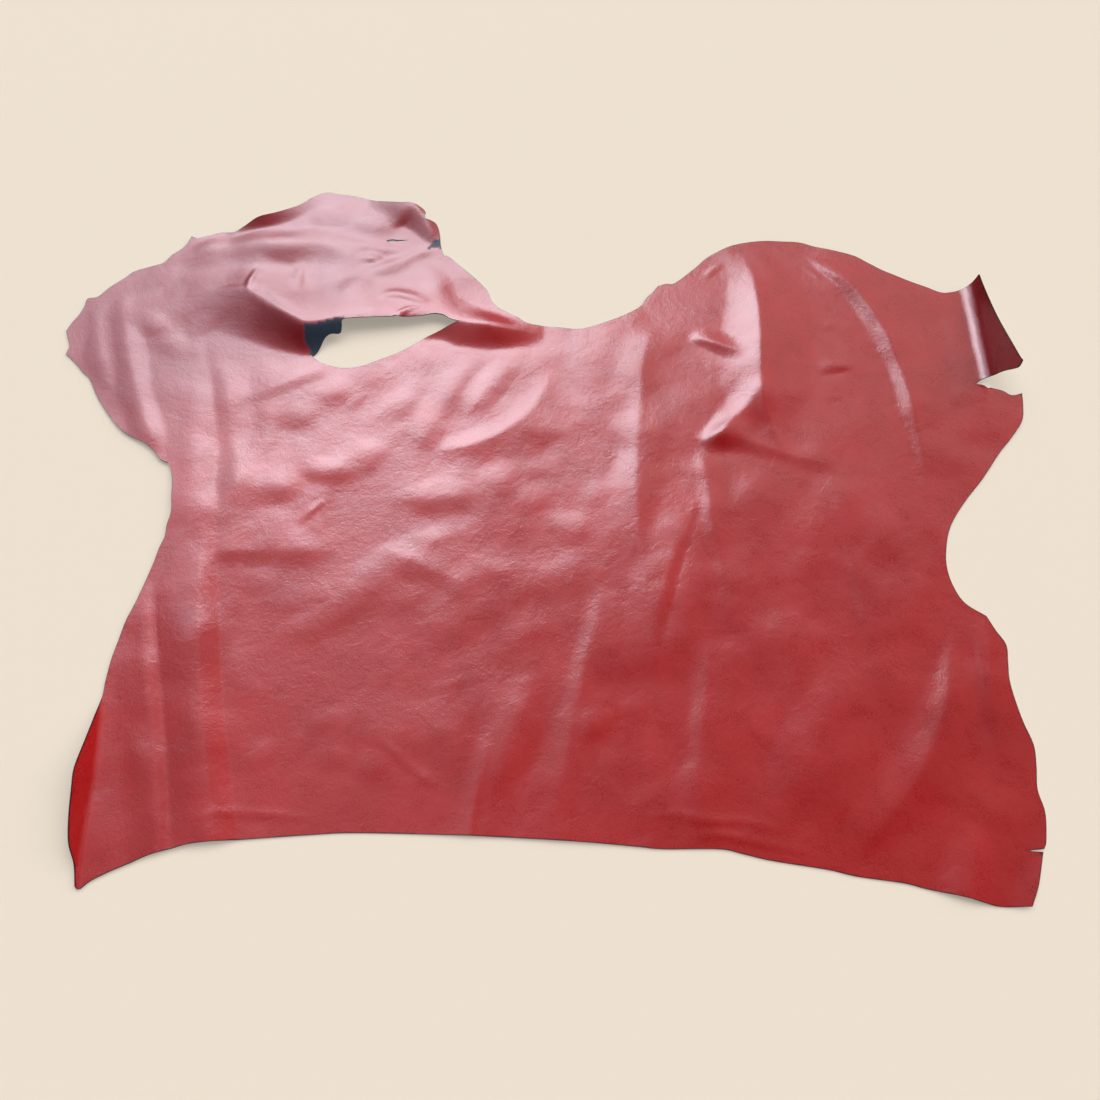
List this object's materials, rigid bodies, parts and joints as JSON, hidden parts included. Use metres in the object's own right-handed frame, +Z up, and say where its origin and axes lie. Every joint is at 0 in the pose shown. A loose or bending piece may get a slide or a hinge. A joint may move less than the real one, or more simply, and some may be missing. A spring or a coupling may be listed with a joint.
{
  "type": "leather hide",
  "caption": "Red grain leather hide in a double shoulder cut, lying flat with soft folds, a hole at an arched ridge, a slit and two curled-up margins.",
  "frame": {"origin": "middle of the hide's footprint, on the surface that it lies on", "axes": "+X along the hide's width, +Y away from the straight cut edge, +Z up out of the grain side"},
  "size_m": [1.544, 1.2006, 0.0706],
  "materials": {
    "leather": "semi-gloss dyed grain side, matt blue-grey flesh side"
  },
  "bodies": {
    "root": {"hide": "leather"}
  },
  "joints": []
}
